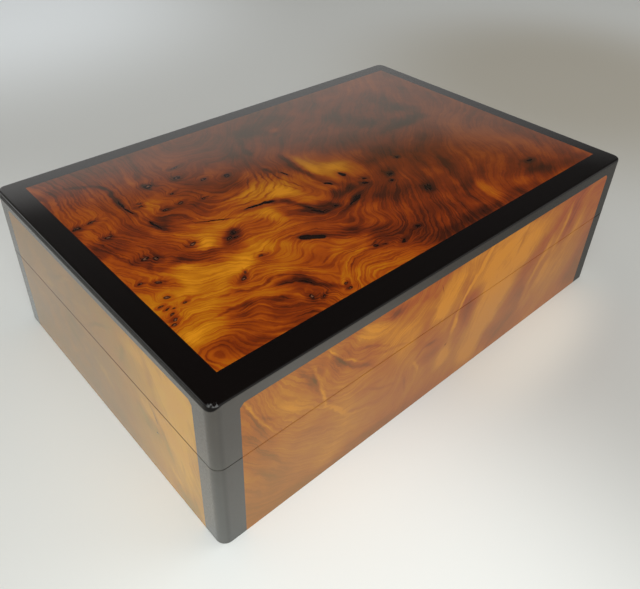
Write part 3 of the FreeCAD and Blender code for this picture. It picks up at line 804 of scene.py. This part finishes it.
def plain_wood(name, stretch, pale, dark):
    """A straight-grained wood: noise drawn out along the grain by the stretch of each axis."""
    material, graph = new_material(name)
    fibres = graph.vector_math("MULTIPLY", graph.place(), stretch)
    figure = graph.noise(fibres, 1.0, 4, 0.6, 0.6)
    pores = graph.noise(fibres, 9.0, 2, 0.6)
    colour = graph.mix(graph.ease(figure, 0.3, 0.72), pale, dark)
    colour = graph.mix(graph.ease(pores, 0.55, 0.8, 0, 0.35), colour, dark)
    graph.surface({
        "Base Color": colour,
        "Roughness": graph.ease(figure, 0.3, 0.7, 0.5, 0.62),
        "Normal": graph.bump(pores, 0.05 * MM, 0.5),
    })
    return material


class KEEPSAKE_OT_carcass(bpy.types.Operator):
    """Finishes the wooden walls and boards"""

    bl_idname = "keepsake.carcass"
    bl_label = "Carcass"

    def execute(self, context):
        cedar, cedar_dark = (0.46, 0.22, 0.10, 1), (0.26, 0.10, 0.04, 1)
        board, board_dark = (0.50, 0.33, 0.18, 1), (0.33, 0.19, 0.09, 1)
        long_walls = plain_wood("cedar_long", (18, 260, 260), cedar, cedar_dark)
        short_walls = plain_wood("cedar_short", (260, 18, 260), cedar, cedar_dark)
        boards = plain_wood("board_wood", (14, 220, 220), board, board_dark)
        finish_nodes(on_sides("wall", "front", "back"), long_walls)
        finish_nodes(on_sides("wall", "left", "right"), short_walls)
        finish_nodes(["bottom_board", "lid_board"], boards)
        return {"FINISHED"}


def sheet_grid(columns, rows, low, high, lift):
    """A sheet over a rectangle: x and y run evenly between two corners, and z is the lift at each."""
    across, along = np.meshgrid(np.linspace(0, 1, columns), np.linspace(0, 1, rows))
    x = low[0] + (high[0] - low[0]) * across
    y = low[1] + (high[1] - low[1]) * along
    points = np.stack([x, y, lift(x, y)], -1).reshape(-1, 3)
    corner = (np.arange(rows - 1)[:, None] * columns + np.arange(columns - 1)[None]).ravel()
    faces = np.stack([corner, corner + 1, corner + columns + 1, corner + columns], -1)
    return points, faces


def mesh_piece(name, points, faces, material):
    """A mesh object at the origin, with its place in its points."""
    mesh = bpy.data.meshes.new(name)
    mesh.from_pydata(points.tolist(), [], faces.tolist())
    mesh.shade_smooth()
    mesh.materials.append(material)
    piece = bpy.data.objects.new(name, mesh)
    bpy.context.scene.collection.objects.link(piece)
    return piece


class KEEPSAKE_OT_lining(bpy.types.Operator):
    """Lays the felt sheet on the bottom board"""

    bl_idname = "keepsake.lining"
    bl_label = "Felt lining"

    def execute(self, context):
        settings = context.scene.keepsake_lining
        material, graph = new_material("felt")
        place = graph.place()
        fibres = graph.noise(place, 1800, 4, 0.7, 1.2)
        nap = graph.noise(place, 60, 3, 0.6)
        brushed, hollow = (0.042, 0.042, 0.044, 1), (0.010, 0.010, 0.011, 1)
        shade = graph.mix(graph.ease(nap, 0.3, 0.7, 0, 0.5), settings.nap, brushed)
        graph.surface({
            "Base Color": graph.mix(graph.ease(fibres, 0.35, 0.7, 0, 0.6), shade, hollow),
            "Roughness": 0.95,
            "Specular IOR Level": 0.2,
            "Sheen Weight": 0.4,
            "Sheen Roughness": 0.5,
            "Normal": graph.bump(fibres, 0.15 * MM, 0.7),
        })

        wave, wave_x, wave_y = 0.05 * MM, 0.019, 0.023

        def lift(x, y):
            """The felt's top, which waves as a laid sheet does: sin(x / wave_x) times cos(y / wave_y)."""
            return FELT_LOW.z + settings.thickness + wave * np.sin(x / wave_x) * np.cos(y / wave_y)

        points, faces = sheet_grid(141, 91, FELT_LOW, FELT_HIGH, lift)
        piece = mesh_piece("felt_lining", points, faces, material)
        solid = piece.modifiers.new("thickness", "SOLIDIFY")
        solid.thickness = settings.thickness
        solid.offset = -1
        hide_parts("base_lining")
        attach(piece, "box_body")
        return {"FINISHED"}


class KEEPSAKE_OT_fittings(bpy.types.Operator):
    """Finishes the brass hinges and their screws"""

    bl_idname = "keepsake.fittings"
    bl_label = "Hinges and screws"

    def execute(self, context):
        tarnished = (0.45, 0.28, 0.10, 1)
        screws = [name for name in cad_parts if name.endswith("_screws")]
        hinges = [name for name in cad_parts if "_hinge_" in name and name not in screws]
        for finish, colour, nodes in (
            ("hinge_brass", (0.88, 0.62, 0.26, 1), hinges),
            ("screw_brass", (0.90, 0.66, 0.32, 1), screws),
        ):
            material, graph = new_material(finish)
            place = graph.place()
            brushed = graph.noise(graph.vector_math("MULTIPLY", place, (300, 5000, 5000)), 1.0, 2, 0.5)
            tarnish = graph.noise(place, 180, 4, 0.6)
            graph.surface({
                "Base Color": graph.mix(graph.ease(tarnish, 0.45, 0.75, 0, 0.4), colour, tarnished),
                "Metallic": 0.8,
                "Roughness": graph.ease(brushed, 0.3, 0.7, 0.24, 0.42),
                "Normal": graph.bump(brushed, 0.02 * MM, 0.4),
            })
            finish_nodes(nodes, material)
        return {"FINISHED"}


def area_lamp(name, place, aim, size, power):
    """A square soft lamp that faces a point, and that the lacquer doesn't mirror."""
    data = bpy.data.lights.new(name, "AREA")
    data.size = size
    data.energy = power
    lamp = bpy.data.objects.new(name, data)
    lamp.location = place
    lamp.rotation_euler = (Vector(aim) - Vector(place)).to_track_quat("-Z", "Y").to_euler()
    lamp.visible_glossy = False
    bpy.context.scene.collection.objects.link(lamp)


def lay_floor(settings):
    """A wide flat floor with painted light: brightest before the near corner and duller to the right and
    behind, as a painted pool of light, with painted light beside the front and far behind, and painted shade
    to the right.
    """
    material, graph = new_material("floor")
    place = graph.place()
    stretched = graph.vector_math("MULTIPLY", place, (1, 0.45, 0))
    near = graph.vector_math("DISTANCE", stretched, (-0.135, -0.06, 0), "Value")
    right = graph.vector_math("DISTANCE", place, (0.46, 0.10, 0), "Value")
    behind = graph.vector_math("DISTANCE", place, (0.05, 0.75, 0), "Value")
    painted_light_cream, painted_shade_drab, painted_light_cool = (0.85, 0.82, 0.72, 1), (0.33, 0.30, 0.24, 1), (0.85, 0.88, 0.88, 1)
    # Painted light: the floor is painted brightest near the front corner, as a pool of light, and darker
    # further off.
    colour = graph.mix(graph.ease(near, 0.02, 0.235), settings.floor_lit_near, settings.floor_shaded_far)
    # A painted lift beside the front, where the box's own shade falls.
    beside = graph.oval(place, 0.075, -0.108, 0.12, 0.05, math.radians(8))
    colour = graph.mix(graph.ease(beside, 0, 1, 0, 0.6), colour, painted_light_cream)
    # Painted shade to the right of the box, and painted light far behind.
    colour = graph.mix(graph.ease(right, 0.05, 0.36, 0.9, 0), colour, painted_shade_drab)
    colour = graph.mix(graph.ease(behind, 0.05, 0.50, 0.9, 0), colour, painted_light_cool)
    graph.surface({"Base Color": colour, "Roughness": 0.55})
    reach = settings.floor_reach
    points, faces = sheet_grid(9, 9, (-reach, -reach), (reach, reach), lambda x, y: 0 * x)
    floor = mesh_piece("floor", points, faces, material)


def paint_room(scene):
    """The world: a pale backdrop, a soft light all round, and what the lacquer mirrors."""
    world = bpy.data.worlds.new("room")
    world.use_nodes = True
    scene.world = world
    room = Graph(world.node_tree)
    way = room.node("ShaderNodeTexCoord", {}, {}, "Generated")
    _, _, height = room.parts_of(way)
    # The lacquer mirrors a pale wall with a slanted upper edge, which dims towards the right.
    upper_edge = room.vector_math("DOT_PRODUCT", way, (0.1671, 0.4576, -0.8733), "Value")
    side_edge = room.vector_math("DOT_PRODUCT", way, (0.3491, 0.2464, -0.9041), "Value")
    leftwards = room.vector_math("DOT_PRODUCT", way, (-0.6, 0.8, 0), "Value")
    wall = room.ease(upper_edge, -0.045, 0.035).math("MAXIMUM", room.ease(side_edge, -0.03, 0.035))
    wall = wall * (leftwards * 0.80 + 0.42) * room.ease(height, 0.34, 0.48, 1.3, 1)
    # All round but there, a low glow keeps a sheen on the lacquer.
    wallwards = room.vector_math("DOT_PRODUCT", way, (0.56, 0.83, 0), "Value")
    glow = room.ease(height, 0.05, 0.75, 0.36, 0.004) * room.ease(wallwards, 0, 0.7, 1, 0.08)
    level = wall.math("MAXIMUM", glow)
    mirrored = room.mix(level, (0, 0, 0, 1), (1.0, 0.99, 0.97, 1))
    backdrop = room.node("ShaderNodeBackground", {}, {0: (0.72, 0.73, 0.71, 1), 1: 1.0})
    reflection = room.node("ShaderNodeBackground", {}, {0: mirrored, 1: 1.0})
    ambient = room.node("ShaderNodeBackground", {}, {0: (0.96, 0.98, 1.0, 1), 1: 0.45})
    glossy = room.node("ShaderNodeLightPath", {}, {}, "Is Glossy Ray")
    seen = room.node("ShaderNodeLightPath", {}, {}, "Is Camera Ray")
    light = room.node("ShaderNodeMixShader", {}, {0: glossy, 1: ambient, 2: reflection})
    light = room.node("ShaderNodeMixShader", {}, {0: seen, 1: light, 2: backdrop})
    room.node("ShaderNodeOutputWorld", {}, {"Surface": light})


def place_camera(scene, settings):
    """The camera, turned and dipped from level, then rolled about the way it looks."""
    data = bpy.data.cameras.new("camera")
    data.sensor_width = 36
    data.lens = settings.lens
    data.shift_x, data.shift_y = settings.shift
    data.clip_start = 0.01
    camera = bpy.data.objects.new("camera", data)
    turn, dip = settings.camera_turn, settings.camera_dip
    ahead = Vector((math.sin(turn) * math.cos(dip), math.cos(turn) * math.cos(dip), -math.sin(dip)))
    camera.location = settings.camera_place
    camera.rotation_mode = "QUATERNION"
    camera.rotation_quaternion = Quaternion(ahead, -settings.camera_roll) @ ahead.to_track_quat("-Z", "Y")
    scene.collection.objects.link(camera)
    scene.camera = camera


class KEEPSAKE_OT_stage(bpy.types.Operator):
    """Lays the floor, hangs the lamps and sets up the camera"""

    bl_idname = "keepsake.stage"
    bl_label = "Stage"

    def execute(self, context):
        scene = context.scene
        settings = scene.keepsake_stage
        box_middle = (0, 0, 0.05)
        lay_floor(settings)
        area_lamp("key", (-0.9, -1.0, 1.3), box_middle, size=1.4, power=26)
        area_lamp("fill", (1.0, -0.4, 1.0), box_middle, size=1.2, power=6)
        paint_room(scene)
        place_camera(scene, settings)
        scene.view_settings.view_transform = "Standard"
        return {"FINISHED"}


OPERATORS = (
    KEEPSAKE_OT_top_veneer, KEEPSAKE_OT_side_veneers, KEEPSAKE_OT_lippings, KEEPSAKE_OT_carcass,
    KEEPSAKE_OT_lining, KEEPSAKE_OT_fittings, KEEPSAKE_OT_stage,
)
SETTINGS = {
    "keepsake_veneer": VeneerSettings,
    "keepsake_lipping": LippingSettings,
    "keepsake_lining": LiningSettings,
    "keepsake_stage": StageSettings,
}


class KEEPSAKE_PT_panel(bpy.types.Panel):
    """Lists the box's pieces and their settings"""

    bl_idname = "KEEPSAKE_PT_panel"
    bl_label = "Burl Keepsake Box"
    bl_space_type = "VIEW_3D"
    bl_region_type = "UI"
    bl_category = "Keepsake"

    def draw(self, context):
        for operator in OPERATORS:
            self.layout.operator(operator.bl_idname)
        for name, kind in SETTINGS.items():
            box = self.layout.box()
            for field in kind.__annotations__:
                box.prop(getattr(context.scene, name), field)


def register():
    """Registers the settings, operators and panel."""
    for kind in (*SETTINGS.values(), *OPERATORS, KEEPSAKE_PT_panel):
        bpy.utils.register_class(kind)
    for name, kind in SETTINGS.items():
        setattr(bpy.types.Scene, name, bpy.props.PointerProperty(type=kind))


def unregister():
    """Takes away what register added."""
    for name in SETTINGS:
        delattr(bpy.types.Scene, name)
    for kind in reversed((*SETTINGS.values(), *OPERATORS, KEEPSAKE_PT_panel)):
        bpy.utils.unregister_class(kind)


def main():
    register()
    for step in ("top_veneer", "side_veneers", "lippings", "carcass", "lining", "fittings", "stage"):
        getattr(bpy.ops.keepsake, step)()


if __name__ == "__main__":
    main()
